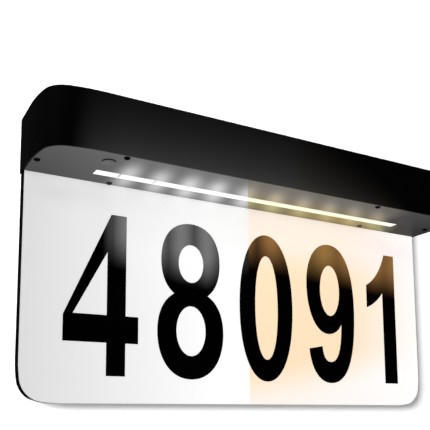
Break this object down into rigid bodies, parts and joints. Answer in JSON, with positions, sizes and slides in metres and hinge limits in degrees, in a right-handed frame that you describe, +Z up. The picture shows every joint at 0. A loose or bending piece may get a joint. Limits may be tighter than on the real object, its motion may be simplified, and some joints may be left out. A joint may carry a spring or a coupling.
{
  "type": "illuminated house number sign",
  "caption": "Wall-hung solar house number sign: black lamp housing with a downward light window over a white plate with stick-on black numbers.",
  "frame": {"origin": "on the wall plane, midway between the centres of the two keyhole entries in the hanger plate", "axes": "+Z up, +X to the viewer's right along the sign, front faces -Y, +Y into the wall"},
  "size_m": [0.3204, 0.0572, 0.1738],
  "materials": {
    "housing_black": "satin black moulding",
    "cover_black": "satin black moulding",
    "seal_rubber": "matt",
    "screw_black": "black oxide",
    "screw_steel": "zinc plated",
    "insert_brass": "knurled",
    "window_frosted": "frosted translucent",
    "board_white": "white solder mask",
    "board_green": "green solder mask",
    "led_cool": "clear over white",
    "led_warm": "phosphor yellow",
    "tray_white": "white reflective",
    "parts_dark": "moulded black",
    "socket_white": "nylon",
    "button_black": "satin",
    "switch_metal": "stamped",
    "battery_sleeve": "shrink sleeve",
    "nickel": "nickel strip",
    "cradle_grey": "matt",
    "foam_grey": "closed cell foam",
    "strap_woven": "woven",
    "solar_glass": "clear tempered",
    "solar_cell": "dark blue silicon",
    "solar_board": "laminate",
    "ribbon_tin": "tinned",
    "lead_pvc": "pvc",
    "plate_white": "gloss white coat",
    "plate_core": "black core",
    "hanger_steel": "galvanised",
    "vinyl_black": "cut vinyl, gloss"
  },
  "bodies": {
    "sign": {"housing_shell": "housing_black", "bottom_cover": "cover_black", "cover_gasket": "seal_rubber", "cover_screws": "screw_black", "light_window": "window_frosted", "led_board": "board_white", "leds_cool_white": "led_cool", "leds_warm_white": "led_warm", "led_tray": "tray_white", "tray_screws": "screw_steel", "button_seal": "seal_rubber", "tact_switch": "switch_metal", "control_board": "board_green", "board_components": "parts_dark", "board_sockets": "socket_white", "lead_plugs": "socket_white", "board_standoffs": "screw_steel", "board_screws": "screw_steel", "battery_cells": "battery_sleeve", "battery_tabs": "nickel", "battery_cradle": "cradle_grey", "battery_straps": "strap_woven", "battery_foam": "foam_grey", "solar_seal": "foam_grey", "solar_backing": "solar_board", "solar_cells": "solar_cell", "solar_ribbons": "ribbon_tin", "solar_glass": "solar_glass", "battery_lead": "lead_pvc", "solar_lead": "lead_pvc", "led_lead": "lead_pvc", "plate_front_skin": "plate_white", "plate_core": "plate_core", "plate_back_skin": "plate_white", "hanger_plate": "hanger_steel", "hanger_screws": "screw_steel", "threaded_inserts": "insert_brass", "wall_bumpers": "seal_rubber", "digit_1_four": "vinyl_black", "digit_2_eight": "vinyl_black", "digit_3_zero": "vinyl_black", "digit_4_nine": "vinyl_black", "digit_5_one": "vinyl_black"},
    "button": {"mode_button": "button_black", "switch_plunger": "parts_dark"}
  },
  "joints": [
    {"name": "button_press", "type": "slide", "parent": "sign", "child": "button", "axis": [0, 0, 1], "range_m": [0, 0.0008], "stiffness_N_per_m": 600}
  ]
}
